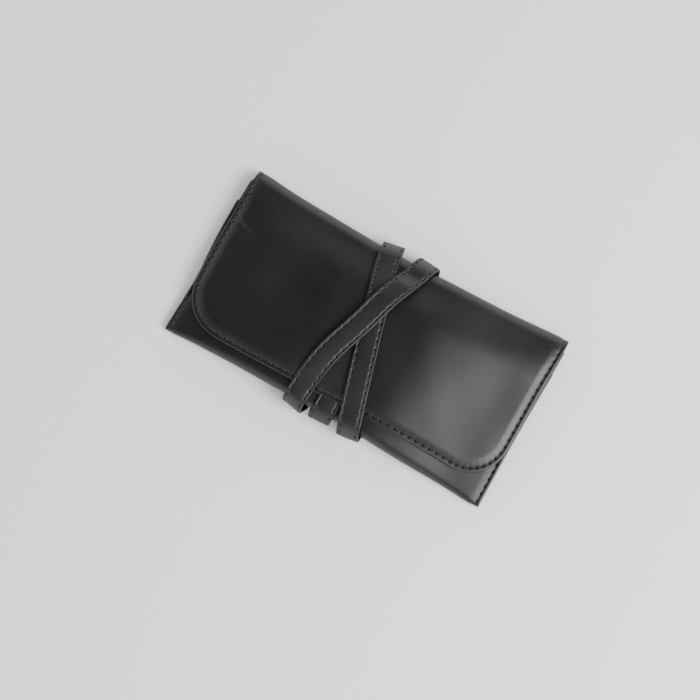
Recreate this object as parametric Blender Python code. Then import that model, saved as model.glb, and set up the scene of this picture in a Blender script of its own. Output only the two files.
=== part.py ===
"""Brush roll case: a padded leather envelope with a rounded flap and a wrap strap.

The case lies closed on its back. +X runs along the long side, +Y towards the top fold
that the flap swings about, and +Z up. Metres. The outer leather is a folded sheet: back
panel, bottom fold and pocket front. The top fold joins it to the flap. The strap is sewn
into the flap's front edge, runs twice round the case, crosses itself on the front and is
tucked in at the back. Each pass of the strap is its own pair of leather layers, so that
it can unwind at the folds.
"""

import math

import bmesh
import bpy
from mathutils import Vector

MM = 0.001

# Overall sizes
HALF_LENGTH = 102.0 * MM
HALF_WIDTH = 52.0 * MM
FLAP_HALF_LENGTH = 101.0 * MM
POCKET_DEPTH_MIDDLE = 11.2 * MM
POCKET_DEPTH_SEAM = 5.5 * MM
FOLD_DEPTH = 13.0 * MM
POCKET_MOUTH_Y = 31.0 * MM

# How the case lies: its middle is held up by the strap behind it, its ends touch the table
BACK_LIFT = 5.0 * MM
LIFT_FLAT_X = 25.0 * MM
REST_X = 85.0 * MM

# Layers
LEATHER = 1.2 * MM
PADDING = 1.0 * MM
LINING = 0.5 * MM
SLOT_PANEL = 0.5 * MM
GAP = 0.3 * MM
FLAP_GAP = 0.6 * MM
PADDING_INSET = 10.0 * MM
PADDING_TAPER = 4.0 * MM

# Flap
FLAP_EDGE_Y = -42.0 * MM
FLAP_CORNER = 26.0 * MM
FLAP_BLEND_Y = 18.0 * MM
FLAP_LINING_INSET = 1.2 * MM
FLAP_PADDING_INSET = 9.0 * MM

# Thread
THREAD_RADIUS = 0.2 * MM
FLAP_STITCH_INSET = 2.4 * MM
SEAM_STITCH_INSET = 2.3 * MM
MOUTH_STITCH_INSET = 2.5 * MM

# Slot panel
SLOT_TOP_Y = 12.0 * MM
SLOT_BOTTOM_Y = -44.0 * MM
SLOT_HALF_LENGTH = 98.0 * MM

# Strap
STRAP_WIDTH = 13.2 * MM
STRAP_OUTER = 0.85 * MM
STRAP_BACKING = 0.75 * MM
STRAP_LAYER_GAP = 0.25 * MM
STRAP_THICKNESS = STRAP_OUTER + STRAP_LAYER_GAP + STRAP_BACKING
STRAP_STEP = 1.1 * MM
STRAP_START_X = -0.5 * MM
STRAP_TONGUE = 9.0 * MM
TABLE_CLEARANCE = 0.3 * MM
TAIL_LENGTH = 58.0 * MM
CROSSING_Y = 9.5 * MM
CROSSING_REACH = 25.5 * MM
CROSSING_RAMP = 9.5 * MM
# heading of each pass in degrees off the short side, + towards +X, in wrapping order
PASS_NAMES = ("start", "back_pass_1", "front_band_1", "back_pass_2", "front_band_2", "tail")
PASS_HEADINGS = (0.0, -7.2, 15.4, -3.0, -14.4, 7.0)
# how far beyond the fold's own centre each bend is centred, so the loops stand off it
BEND_SLACK = (1.0 * MM, 0.7 * MM, 0.5 * MM, 0.7 * MM, 1.6 * MM)
# how far outside a bend's centre its joint lies, as a share of the bend's radius
JOINT_SHIFT = 0.3
FLAP_HINGE_SHIFT = 3.2 * MM
FLAP_HINGE_Z = 11.4 * MM

FOLD_RADIUS = FOLD_DEPTH / 2
FOLD_CENTRE_Y = HALF_WIDTH - FOLD_RADIUS
FLAP_STACK = LEATHER + PADDING + LINING + 2 * GAP
LINING_DEPTH_FULL = LEATHER + PADDING + 2 * GAP
LINING_DEPTH_SEAM = LEATHER + GAP
FLAP_RISE = FLAP_STACK + FLAP_GAP
BAND_CLEARANCE = 0.6 * MM
PART_GAP = GAP / 2

ACROSS = 20
ROWS = 10


def smoothstep(value):
    """Ease from 0 to 1."""
    value = min(max(value, 0.0), 1.0)
    return value * value * (3.0 - 2.0 * value)


def mix(a, b, share):
    return a + (b - a) * share


def spread(low, high, count):
    """count + 1 even steps from low to high."""
    return [mix(low, high, i / count) for i in range(count + 1)]


def lift(x):
    """Height of the back panel's outer face above the table."""
    return BACK_LIFT * (1.0 - smoothstep((abs(x) - LIFT_FLAT_X) / (REST_X - LIFT_FLAT_X)))


def pocket_depth(x):
    """Depth of the filled pocket, thin at the side seams and full in the middle."""
    share = 1.0 - min(abs(x) / HALF_LENGTH, 1.0) ** 3
    return mix(POCKET_DEPTH_SEAM, POCKET_DEPTH_MIDDLE, share)


def flap_height(x, y):
    """Height of the flap's outer face above the back panel's outer face."""
    share = smoothstep((y - FLAP_BLEND_Y) / (FOLD_CENTRE_Y - FLAP_BLEND_Y))
    return mix(pocket_depth(x) + FLAP_RISE, FOLD_DEPTH, share)


def front_height(x, y):
    """Height of the pocket front's outer face above the back panel's outer face."""
    return flap_height(x, y) - FLAP_RISE


def back_lining_depth(x):
    """Depth of the back lining below the leather's outer face: the padding stops short of the seam."""
    padding_end = HALF_LENGTH - PADDING_INSET
    share = smoothstep((abs(x) - padding_end) / PADDING_TAPER)
    return mix(LINING_DEPTH_FULL, LINING_DEPTH_SEAM, share)


def pocket_path(x, back_depth, front_depth, top_y, mouth_y):
    """Points of one layer of the pocket at x: down the back, round the bottom fold, up the front."""
    radius = (pocket_depth(x) - back_depth - front_depth) / 2
    centre_z = back_depth + radius
    centre_y = -HALF_WIDTH + (back_depth + front_depth) / 2 + radius
    base = lift(x)
    points = [(x, y, base + back_depth) for y in spread(top_y, centre_y, ROWS)]
    for angle in spread(0.0, math.pi, ROWS)[1:]:
        y = centre_y - radius * math.sin(angle)
        z = base + centre_z - radius * math.cos(angle)
        points.append((x, y, z))
    for y in spread(centre_y, mouth_y, ROWS)[1:]:
        points.append((x, y, base + front_height(x, y) - front_depth))
    return points


def make_material(name, colour, roughness):
    """Return a Principled material; all the object's materials are non-metals."""
    material = bpy.data.materials.new(name)
    material.use_nodes = True
    shader = material.node_tree.nodes["Principled BSDF"]
    shader.inputs["Base Color"].default_value = (*colour, 1.0)
    shader.inputs["Roughness"].default_value = roughness
    material.diffuse_color = (*colour, 1.0)
    return material


def attach(obj, material, pivot, pivot_place):
    """Give an object its material and hang it on its joint's empty."""
    obj.data.materials.append(material)
    bpy.context.collection.objects.link(obj)
    if pivot is not None:
        obj.parent = pivot
        obj.location = -pivot_place
    return obj


def sheet_mesh(name, rows):
    """Make a mesh of quads from rows of points."""
    bm = bmesh.new()
    grid = [[bm.verts.new(point) for point in row] for row in rows]
    for row, next_row in zip(grid, grid[1:]):
        for i in range(len(row) - 1):
            bm.faces.new((row[i], next_row[i], next_row[i + 1], row[i + 1]))
    mesh = bpy.data.meshes.new(name)
    bm.to_mesh(mesh)
    bm.free()
    mesh.shade_smooth()
    return mesh


def add_sheet(name, rows, thickness, material, pivot=None, pivot_place=None):
    """Add a sheet whose outer face is given by rows, thickened on its inner side."""
    obj = bpy.data.objects.new(name, sheet_mesh(name, rows))
    solid = obj.modifiers.new("thickness", "SOLIDIFY")
    solid.thickness = thickness
    solid.offset = -1.0
    solid.use_even_offset = True
    return attach(obj, material, pivot, pivot_place)


def add_strip(name, outer_rows, inner_rows, material, pivot, pivot_place):
    """Add a closed strip between its outer and inner faces, given as matching rows."""
    bm = bmesh.new()
    outer = [[bm.verts.new(point) for point in row] for row in outer_rows]
    inner = [[bm.verts.new(point) for point in row] for row in inner_rows]
    last_row, last = len(outer) - 1, len(outer[0]) - 1
    for j in range(last_row):
        for i in range(last):
            corners = ((j, i), (j + 1, i), (j + 1, i + 1), (j, i + 1))
            bm.faces.new([outer[a][b] for a, b in corners])
            bm.faces.new([inner[a][b] for a, b in reversed(corners)])
    for i in range(last):
        bm.faces.new((outer[0][i], outer[0][i + 1], inner[0][i + 1], inner[0][i]))
        end = (outer[last_row][i + 1], outer[last_row][i], inner[last_row][i], inner[last_row][i + 1])
        bm.faces.new(end)
    for j in range(last_row):
        bm.faces.new((outer[j + 1][0], outer[j][0], inner[j][0], inner[j + 1][0]))
        end = (outer[j][last], outer[j + 1][last], inner[j + 1][last], inner[j][last])
        bm.faces.new(end)
    mesh = bpy.data.meshes.new(name)
    bm.to_mesh(mesh)
    bm.free()
    mesh.shade_smooth()
    mesh.set_sharp_from_angle(angle=math.radians(40.0))
    return attach(bpy.data.objects.new(name, mesh), material, pivot, pivot_place)


def add_thread(name, points, material, pivot=None, pivot_place=None):
    """Add a thread as a thin closed tube through the points."""
    curve = bpy.data.curves.new(name, "CURVE")
    curve.dimensions = "3D"
    curve.bevel_depth = THREAD_RADIUS
    curve.bevel_resolution = 1
    curve.use_fill_caps = True
    spline = curve.splines.new("POLY")
    spline.points.add(len(points) - 1)
    for spline_point, point in zip(spline.points, points):
        spline_point.co = (*point, 1.0)
    obj = bpy.data.objects.new(name, curve)
    return attach(obj, material, pivot, pivot_place)


def add_pocket(leather, felt, fabric, thread):
    """Add the pieces that stay with the case: shell, padding, lining, slot panel, fold, threads."""
    xs = spread(-HALF_LENGTH, HALF_LENGTH, ACROSS)
    back_top = FOLD_CENTRE_Y - PART_GAP
    rows = [pocket_path(x, 0.0, 0.0, back_top, POCKET_MOUTH_Y) for x in xs]
    add_sheet("outer_shell", rows, LEATHER, leather)

    lining_top = FOLD_CENTRE_Y - PART_GAP
    lining_mouth = POCKET_MOUTH_Y - GAP
    rows = []
    for x in spread(-HALF_LENGTH + GAP, HALF_LENGTH - GAP, 2 * ACROSS):
        depth = back_lining_depth(x)
        rows.append(pocket_path(x, depth, LINING_DEPTH_SEAM, lining_top, lining_mouth))
    add_sheet("pocket_lining", rows, LINING, fabric)

    padding_end = HALF_LENGTH - PADDING_INSET
    rows = flat_rows(padding_end, SLOT_BOTTOM_Y, back_top - GAP, LEATHER + GAP)
    add_sheet("back_padding", rows, PADDING, felt)

    rows = []
    for x in spread(-SLOT_HALF_LENGTH, SLOT_HALF_LENGTH, 2 * ACROSS):
        depth = back_lining_depth(x) + LINING + GAP
        ys = spread(SLOT_TOP_Y, SLOT_BOTTOM_Y, 2)
        rows.append([(x, y, lift(x) + depth) for y in ys])
    add_sheet("slot_panel", rows, SLOT_PANEL, fabric)

    add_sheet("top_fold_leather", fold_rows(0.0), LEATHER, leather)
    add_sheet("top_fold_lining", fold_rows(LINING_DEPTH_FULL), LINING, fabric)

    stand_off = THREAD_RADIUS + GAP / 3
    for side, name in ((-1, "left_seam_thread"), (1, "right_seam_thread")):
        x = side * (HALF_LENGTH - SEAM_STITCH_INSET)
        path = pocket_path(x, -stand_off, -stand_off, back_top, POCKET_MOUTH_Y - GAP)
        add_thread(name, path[2 * ROWS - ROWS // 2:], thread)
    mouth_y = POCKET_MOUTH_Y - MOUTH_STITCH_INSET
    mouth_end = HALF_LENGTH - 2 * SEAM_STITCH_INSET
    points = []
    for x in spread(-mouth_end, mouth_end, 2 * ACROSS):
        points.append((x, mouth_y, lift(x) + front_height(x, mouth_y) + stand_off))
    add_thread("pocket_mouth_thread", points, thread)


def flat_rows(half_length, low_y, high_y, depth):
    """Rows of a layer on the back panel, depth above its outer face."""
    rows = []
    for x in spread(-half_length, half_length, ACROSS):
        rows.append([(x, y, lift(x) + depth) for y in spread(high_y, low_y, 2)])
    return rows


def fold_rows(depth):
    """Rows of one layer of the top fold: a half turn from the back panel up to the flap."""
    rows = []
    for share_x in spread(-1.0, 1.0, ACROSS):
        row = []
        for turn in spread(0.0, 1.0, 2 * ROWS):
            x = share_x * mix(HALF_LENGTH, FLAP_HALF_LENGTH, turn)
            angle = math.pi * (1.0 - turn)
            y = FOLD_CENTRE_Y + (FOLD_RADIUS - depth) * math.sin(angle)
            z = lift(x) + FOLD_RADIUS + (FOLD_RADIUS - depth) * math.cos(angle)
            row.append((x, y, z))
        rows.append(row[::-1])
    return rows


def flap_edge_y(x, inset):
    """The flap's lower outline at x: straight, with a round corner at each end."""
    half_length = FLAP_HALF_LENGTH - inset
    radius = FLAP_CORNER - inset
    low = FLAP_EDGE_Y + inset
    over = abs(x) - (half_length - radius)
    if over <= 0.0:
        return low
    return low + radius - math.sqrt(max(radius ** 2 - over ** 2, 0.0))


def flap_stations(inset):
    """X of each column of the flap's grid, closer together round its corners."""
    half_length = FLAP_HALF_LENGTH - inset
    radius = FLAP_CORNER - inset
    corner_start = half_length - radius
    corner = [corner_start + radius * math.sin(a) for a in spread(0.0, math.pi / 2, ROWS)]
    middle = spread(-corner_start, corner_start, ACROSS)
    return [-x for x in corner[:0:-1]] + middle + corner[1:]


def flap_rows(inset, depth, top_y):
    """Rows of one layer of the flap, depth below its outer face."""
    rows = []
    for x in flap_stations(inset):
        ys = spread(flap_edge_y(x, inset), top_y, 2 * ROWS)
        rows.append([(x, y, lift(x) + flap_height(x, y) - depth) for y in ys])
    return rows


def flap_stitch_points():
    """The stitch line round the flap: down one side, along the edge and up the other."""
    stand_off = THREAD_RADIUS + GAP / 3
    stations = flap_stations(FLAP_STITCH_INSET)
    side_y = flap_edge_y(stations[0], FLAP_STITCH_INSET)
    side = spread(FOLD_CENTRE_Y - GAP, side_y, ROWS)
    outline = [(stations[0], y) for y in side[:-1]]
    outline += [(x, flap_edge_y(x, FLAP_STITCH_INSET)) for x in stations]
    outline += [(stations[-1], y) for y in side[-2::-1]]
    return [(x, y, lift(x) + flap_height(x, y) + stand_off) for x, y in outline]


def add_flap(leather, felt, fabric, thread, hinge, place):
    """Add the flap's leather, padding, lining and stitching."""
    top_y = FOLD_CENTRE_Y - PART_GAP
    rows = flap_rows(0.0, 0.0, top_y)
    add_sheet("flap_leather", rows, LEATHER, leather, hinge, place)
    rows = flap_rows(FLAP_PADDING_INSET + STRAP_TONGUE / 2, LEATHER + GAP, top_y - GAP)
    add_sheet("flap_padding", rows, PADDING, felt, hinge, place)
    rows = flap_rows(FLAP_LINING_INSET, LINING_DEPTH_FULL, top_y)
    add_sheet("flap_lining", rows, LINING, fabric, hinge, place)
    add_thread("flap_thread", flap_stitch_points(), thread, hinge, place)


def band_level(y):
    """Middle height of a strap band on the front, which follows the flap and its front edge."""
    on_flap = flap_height(0.0, y) + BAND_CLEARANCE
    near_fold = start_level() + STRAP_THICKNESS + GAP
    above = BACK_LIFT + on_flap + STRAP_THICKNESS / 2
    bottom_centre = -HALF_WIDTH + POCKET_DEPTH_MIDDLE / 2
    share = smoothstep((y - bottom_centre) / (FLAP_EDGE_Y - bottom_centre))
    return mix(near_fold, above, share)


def start_level():
    """Middle height of the strap where it lies on the pocket, below the flap's edge."""
    return BACK_LIFT + POCKET_DEPTH_MIDDLE + GAP + STRAP_THICKNESS / 2


def crossing_rise(y):
    """Extra height of the second band where it lies over the first."""
    over = (abs(y - CROSSING_Y) - CROSSING_REACH) / CROSSING_RAMP
    return (STRAP_THICKNESS + GAP) * (1.0 - smoothstep(over))


def heading_vector(index):
    """Unit direction of a pass seen from above; even passes run down the front."""
    angle = math.radians(PASS_HEADINGS[index])
    down = -1.0 if index % 2 == 0 else 1.0
    return Vector((math.sin(angle), down * math.cos(angle), 0.0))


def plan_bends():
    """Work out each bend and pass of the strap in wrapping order.

    A bend is half a cylinder. Its axis, seen from above, is square to the difference of
    the two headings that it joins, so that the strap wraps round it without stretching.
    """
    back_level = TABLE_CLEARANCE + STRAP_THICKNESS / 2
    tail_level = back_level + STRAP_THICKNESS + GAP
    top_centre = FOLD_CENTRE_Y
    bottom_centre = -HALF_WIDTH + POCKET_DEPTH_MIDDLE / 2
    point = Vector((STRAP_START_X, FLAP_EDGE_Y, 0.0))
    bends = []
    passes = []
    for i, slack in enumerate(BEND_SLACK):
        down = i % 2 == 0
        axis_y = bottom_centre - slack if down else top_centre + slack
        heading, next_heading = heading_vector(i), heading_vector(i + 1)
        outward = (heading - next_heading).normalized()
        along = Vector((abs(outward.y), -outward.x * math.copysign(1.0, outward.y), 0.0))
        entry = point + heading * ((axis_y - point.y) / heading.y)
        front = start_level() if i == 0 else band_level(entry.y)
        back = tail_level if i == len(BEND_SLACK) - 1 else back_level
        radius = (front - back) / 2
        slide = math.pi * radius * heading.dot(along) / heading.dot(outward)
        bends.append({
            "entry": entry,
            "exit": entry + along * slide,
            "along": along,
            "outward": outward,
            "radius": radius,
            "level": (front + back) / 2,
            "half_arc": math.pi * radius / 2 / heading.dot(outward),
        })
        passes.append({"from": point, "heading": heading, "run": (entry - point).length})
        point = bends[-1]["exit"]
    passes.append({"from": point, "heading": heading_vector(5), "run": TAIL_LENGTH})
    return bends, passes


def strap_point(index, bends, passes, run, across, height):
    """A point of the strap: run along the pass, across its width, height above its middle."""
    this = passes[index]
    heading = this["heading"]
    front = index % 2 == 0
    side = 1.0 if front else -1.0
    width_way = Vector((-heading.y, heading.x, 0.0)) * side
    flat = this["from"] + heading * run + width_way * across
    near = [bends[i] for i in (index - 1, index) if 0 <= i < len(bends)]
    for bend in near:
        past = (flat - bend["entry"]).dot(bend["outward"])
        if past > 0.0:
            angle = past / bend["radius"]
            foot = bend["entry"] + bend["along"] * (flat - bend["entry"]).dot(bend["along"])
            radius = bend["radius"] + height
            point = foot + bend["outward"] * radius * math.sin(angle)
            point.z = bend["level"] + side * radius * math.cos(angle)
            return point
    if index == 0:
        level = start_level()
    elif front:
        level = band_level(flat.y)
        if index == 4:
            level += crossing_rise(flat.y)
    else:
        level = near[0]["level"] - near[0]["radius"]
    flat.z = level + side * height
    return flat


def strap_rows(index, bends, passes, height, first, last):
    """Rows of one face of a strap layer between two places along its pass."""
    steps = max(8, round((last - first) / STRAP_STEP))
    half = STRAP_WIDTH / 2
    rows = []
    for across in (half, 0.0, -half):
        row = []
        for run in spread(first, last, steps):
            row.append(strap_point(index, bends, passes, run, across, height))
        rows.append(row)
    return rows


def add_strap(leather, backing, joints, places):
    """Add the strap's two layers, pass by pass, each pass on its own joint."""
    bends, passes = plan_bends()
    top = STRAP_THICKNESS / 2
    seam = top - STRAP_OUTER
    backing_top = seam - STRAP_LAYER_GAP
    for index, name in enumerate(PASS_NAMES):
        first = -STRAP_TONGUE if index == 0 else PART_GAP - bends[index - 1]["half_arc"]
        last = passes[index]["run"]
        if index < len(bends):
            last += bends[index]["half_arc"] - PART_GAP
        backing_first = GAP if index == 0 else first
        layers = (
            ("outer", leather, top, seam, first),
            ("backing", backing, backing_top, -top, backing_first),
        )
        for layer, material, high, low, start in layers:
            outer = strap_rows(index, bends, passes, high, start, last)
            inner = strap_rows(index, bends, passes, low, start, last)
            node = f"strap_{name}_{layer}"
            add_strip(node, outer, inner, material, joints[index], places[index])


def bend_joint(bend):
    """Where a bend's joint lies: outside the bend's centre, at its middle height."""
    place = bend["entry"] + bend["outward"] * JOINT_SHIFT * bend["radius"]
    place.z = bend["level"]
    return place


def add_joints():
    """Add an empty on the flap's hinge and on each bend of the strap, as one chain."""
    hinge_place = Vector((0.0, FOLD_CENTRE_Y + FLAP_HINGE_SHIFT, FLAP_HINGE_Z))
    bends, _ = plan_bends()
    places = [hinge_place] + [bend_joint(bend) for bend in bends]
    joints = []
    for i, place in enumerate(places):
        name = "flap_hinge_axis" if i == 0 else f"strap_bend_{i}_axis"
        empty = bpy.data.objects.new(name, None)
        empty.empty_display_size = 10.0 * MM
        bpy.context.collection.objects.link(empty)
        empty.location = place
        if joints:
            empty.parent = joints[-1]
            empty.location = place - places[i - 1]
        joints.append(empty)
    return joints, places


def main():
    for obj in list(bpy.data.objects):
        bpy.data.objects.remove(obj)
    leather = make_material("black_leather", (0.018, 0.018, 0.020), 0.42)
    strap_leather = make_material("strap_leather", (0.024, 0.023, 0.026), 0.38)
    strap_back = make_material("strap_backing_leather", (0.016, 0.016, 0.017), 0.55)
    felt = make_material("padding_felt", (0.10, 0.10, 0.10), 0.95)
    fabric = make_material("lining_fabric", (0.020, 0.020, 0.022), 0.85)
    thread = make_material("bonded_thread", (0.015, 0.015, 0.016), 0.50)
    joints, places = add_joints()
    add_pocket(leather, felt, fabric, thread)
    add_flap(leather, felt, fabric, thread, joints[0], places[0])
    add_strap(strap_leather, strap_back, joints, places)


main()
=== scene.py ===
import math

import bmesh
import bpy
import numpy as np
from bpy.props import FloatProperty, FloatVectorProperty, IntProperty, PointerProperty
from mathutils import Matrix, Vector


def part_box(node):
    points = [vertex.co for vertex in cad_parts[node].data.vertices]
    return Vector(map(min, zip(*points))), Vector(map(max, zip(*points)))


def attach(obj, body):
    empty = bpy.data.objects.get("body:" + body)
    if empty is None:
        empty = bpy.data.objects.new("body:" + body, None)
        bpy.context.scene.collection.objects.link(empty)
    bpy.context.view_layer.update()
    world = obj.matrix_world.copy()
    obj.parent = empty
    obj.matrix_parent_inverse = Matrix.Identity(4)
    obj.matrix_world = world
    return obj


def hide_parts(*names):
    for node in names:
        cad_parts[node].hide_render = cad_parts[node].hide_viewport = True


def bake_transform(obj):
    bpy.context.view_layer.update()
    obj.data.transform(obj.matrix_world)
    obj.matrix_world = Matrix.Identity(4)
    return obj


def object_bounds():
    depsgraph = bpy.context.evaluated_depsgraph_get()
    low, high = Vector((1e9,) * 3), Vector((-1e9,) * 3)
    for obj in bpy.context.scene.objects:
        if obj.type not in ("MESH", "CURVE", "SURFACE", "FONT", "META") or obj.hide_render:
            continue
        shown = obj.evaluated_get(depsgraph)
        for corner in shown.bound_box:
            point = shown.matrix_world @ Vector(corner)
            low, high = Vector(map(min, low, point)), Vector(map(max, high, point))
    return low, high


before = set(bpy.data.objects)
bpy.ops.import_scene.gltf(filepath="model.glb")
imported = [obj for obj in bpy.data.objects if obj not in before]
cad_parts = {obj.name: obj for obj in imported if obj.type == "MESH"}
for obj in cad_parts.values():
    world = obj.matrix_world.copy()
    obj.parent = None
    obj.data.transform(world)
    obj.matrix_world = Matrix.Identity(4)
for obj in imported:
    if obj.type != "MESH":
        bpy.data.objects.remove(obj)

bl_info = {
    "name": "Brush Roll Case",
    "version": (1, 0, 0),
    "blender": (4, 5, 0),
    "location": "View3D > Sidebar > Brush Case",
    "description": "Builds a padded leather brush case with a rounded flap and a wrap strap",
    "category": "Object",
}

MM = 0.001
CAD_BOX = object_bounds()
SHELL_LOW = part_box("outer_shell")[0]
FLAP_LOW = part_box("flap_leather")[0]

# The case's own sizes, the same as the CAD solids'
HALF_LENGTH = 102.0 * MM
HALF_WIDTH = -SHELL_LOW.y
FLAP_HALF_LENGTH = 101.0 * MM
POCKET_DEPTH_MIDDLE = 11.2 * MM
POCKET_DEPTH_SEAM = 5.5 * MM
FOLD_DEPTH = 13.0 * MM
POCKET_MOUTH_Y = 31.0 * MM
BACK_LIFT = 5.0 * MM
LIFT_FLAT_X = 25.0 * MM
REST_X = 85.0 * MM
LEATHER = 1.2 * MM
PADDING = 1.0 * MM
LINING = 0.5 * MM
GAP = 0.3 * MM
FLAP_GAP = 0.6 * MM
FLAP_EDGE_Y = FLAP_LOW.y
FLAP_CORNER = 26.0 * MM
FLAP_BLEND_Y = 18.0 * MM
FOLD_RADIUS = FOLD_DEPTH / 2
FOLD_CENTRE_Y = HALF_WIDTH - FOLD_RADIUS
LINING_DEPTH = LEATHER + PADDING + 2 * GAP
SEAM_LINING_DEPTH = LEATHER + GAP
FLAP_RISE = LINING_DEPTH + LINING + FLAP_GAP

# The strap's route, the same as the CAD solids'
STRAP_LAYERS = (0.85 * MM, 0.25 * MM, 0.75 * MM)
STRAP_THICKNESS = sum(STRAP_LAYERS)
STRAP_START_X = -0.5 * MM
STRAP_TONGUE = 9.0 * MM
TABLE_CLEARANCE = 0.3 * MM
TAIL_LENGTH = 58.0 * MM
CROSSING_Y = 9.5 * MM
CROSSING_REACH = 25.5 * MM
CROSSING_RAMP = 9.5 * MM
CROSSING_RUN_OUT = 30.0 * MM
BAND_CLEARANCE = 0.6 * MM
BAND_RAMP_TOP_Y = -34.0 * MM
PASS_NAMES = ("start", "back_pass_1", "front_band_1", "back_pass_2", "front_band_2", "tail")
PASS_HEADINGS = (0.0, -7.2, 15.4, -3.0, -14.4, 7.0)
BEND_SLACK = (1.0 * MM, 0.7 * MM, 0.5 * MM, 0.7 * MM, 1.6 * MM)
# share of each pass that belongs to the piece round its first bend
SPLIT_SHARES = (0.0, 0.5, 0.38, 0.5, 0.94, 0.0)

# How the soft outline strays from a plain rectangle: (share of the half side, mm outwards)
TOP_EDGE = ((-1.0, 3.0), (-0.8, 1.1), (-0.5, -0.8), (-0.2, -2.1),
            (0.2, -1.6), (0.6, 0.2), (0.85, 2.2), (1.0, 3.3))
BOTTOM_EDGE = ((-1.0, 0.8), (-0.85, -0.7), (-0.65, -1.2), (-0.2, -1.4),
               (0.2, -1.1), (0.45, -0.2), (0.75, 0.3), (1.0, 1.2))
LEFT_SIDE = ((-1.0, 1.3), (-0.35, 0.5), (0.1, 1.2), (0.6, 1.0), (1.0, 0.5))
RIGHT_SIDE = ((-1.0, -0.8), (0.0, -0.9), (1.0, 0.2))
FLAP_EDGE = ((-1.0, 0.6), (-0.7, 1.8), (-0.05, 0.8), (0.4, -1.2), (0.7, -1.2), (1.0, 0.0))
POCKET_FLARE = 1.5 * MM
FOLD_DROOP = 2.4 * MM
FOLD_DROOP_Y = 24.0 * MM

# How far the leather sinks, and how fine its seams are drawn
POCKET_SINK = 0.6 * MM
FLAP_SINK = 1.2 * MM
PILLOW = 2.0 * MM
PILLOW_TOP_Y = 4.0 * MM
WAIST = 1.2 * MM
WAIST_WIDTH = 24.0 * MM
RIM_WIDTH = 8.5 * MM
RIM_STEP = 1.0 * MM
SINK_WIDTH = 6.5 * MM
HOLE_WIDTH = 0.6 * MM
STRAP_HOLE_WIDTH = 0.5 * MM
LINING_INSET = 1.2 * MM
LINING_TAPER_START = 10.0 * MM
LINING_TAPER = 4.0 * MM
PANEL_THICKNESS = 0.5 * MM
PANEL_GAP = 0.15 * MM
THREAD_SIT = 0.15

# How the strap sways off its straight passes: (mm along the strap, mm towards +X)
STRAP_SWAY = ((0, 0), (110, 0), (140, 2.6), (155, 0.7), (185, 0.4), (250, 0.9), (266, 1.2), (310, 0.0),
              (380, 0.1), (402, -0.3), (426, -2.7), (446, -3.2), (470, -4.5), (484, -3.7), (500, -1.2),
              (512, 0.9), (526, 3.4), (545, 3.6), (590, 3.6))

MERGE = 1e-7
HORIZON_GLOW = 2.8
OVERHEAD_GLOW = 0.09


def hex_rgb(code):
    """Turn an sRGB hex code into linear red, green and blue."""
    parts = np.array([int(code[i:i + 2], 16) for i in (1, 3, 5)]) / 255.0
    low = parts / 12.92
    high = ((parts + 0.055) / 1.055) ** 2.4
    return tuple(float(v) for v in np.where(parts <= 0.04045, low, high))


# ---------------------------------------------------------------- shape functions


def smoothstep(value):
    """Ease from 0 to 1: 3v squared minus 2v cubed."""
    value = np.clip(value, 0.0, 1.0)
    return value * value * (3.0 - 2.0 * value)


def mix(a, b, share):
    """Straight blend of a and b."""
    return a + (b - a) * share


def bell(value, width):
    """A bell curve, 1 at 0: e to the minus (value over width) squared."""
    return np.exp(-(value / width) ** 2)


def through(points, place):
    """Height at each place of a smooth line through (place, mm) points.

    Between two points it is a cubic with the line's slope at each of them, where that slope
    is the central difference of the neighbours.
    """
    places = np.array([p[0] for p in points], float)
    heights = np.array([p[1] for p in points], float)
    slopes = np.gradient(heights, places)
    place = np.clip(place, places[0], places[-1])
    i = np.clip(np.searchsorted(places, place) - 1, 0, len(places) - 2)
    step = places[i + 1] - places[i]
    t = (place - places[i]) / step
    from_first = (1.0 + 2.0 * t) * (1.0 - t) ** 2 * heights[i] + t * (1.0 - t) ** 2 * step * slopes[i]
    from_second = t * t * (3.0 - 2.0 * t) * heights[i + 1] - t * t * (1.0 - t) * step * slopes[i + 1]
    return (from_first + from_second) * MM


def lift(x):
    """Back panel's height: the full lift near the strap, easing to 0 at the resting ends."""
    return BACK_LIFT * (1.0 - smoothstep((np.abs(x) - LIFT_FLAT_X) / (REST_X - LIFT_FLAT_X)))


def pocket_depth(x):
    """Pocket's depth: full in the middle, less by the cube of x towards the side seams."""
    share = 1.0 - np.minimum(np.abs(x) / HALF_LENGTH, 1.0) ** 3
    return mix(POCKET_DEPTH_SEAM, POCKET_DEPTH_MIDDLE, share)


def lining_depth(x):
    """Lining's depth inside the back: the full padding, easing to none at the side seams."""
    taper = smoothstep((np.abs(x) - HALF_LENGTH + LINING_TAPER_START) / LINING_TAPER)
    return mix(LINING_DEPTH, SEAM_LINING_DEPTH, taper)


def flap_height(x, y):
    """Flap's height above the back: the pocket's depth, easing to the fold's depth at the top."""
    share = smoothstep((y - FLAP_BLEND_Y) / (FOLD_CENTRE_Y - FLAP_BLEND_Y))
    return mix(pocket_depth(x) + FLAP_RISE, FOLD_DEPTH, share)


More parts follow.
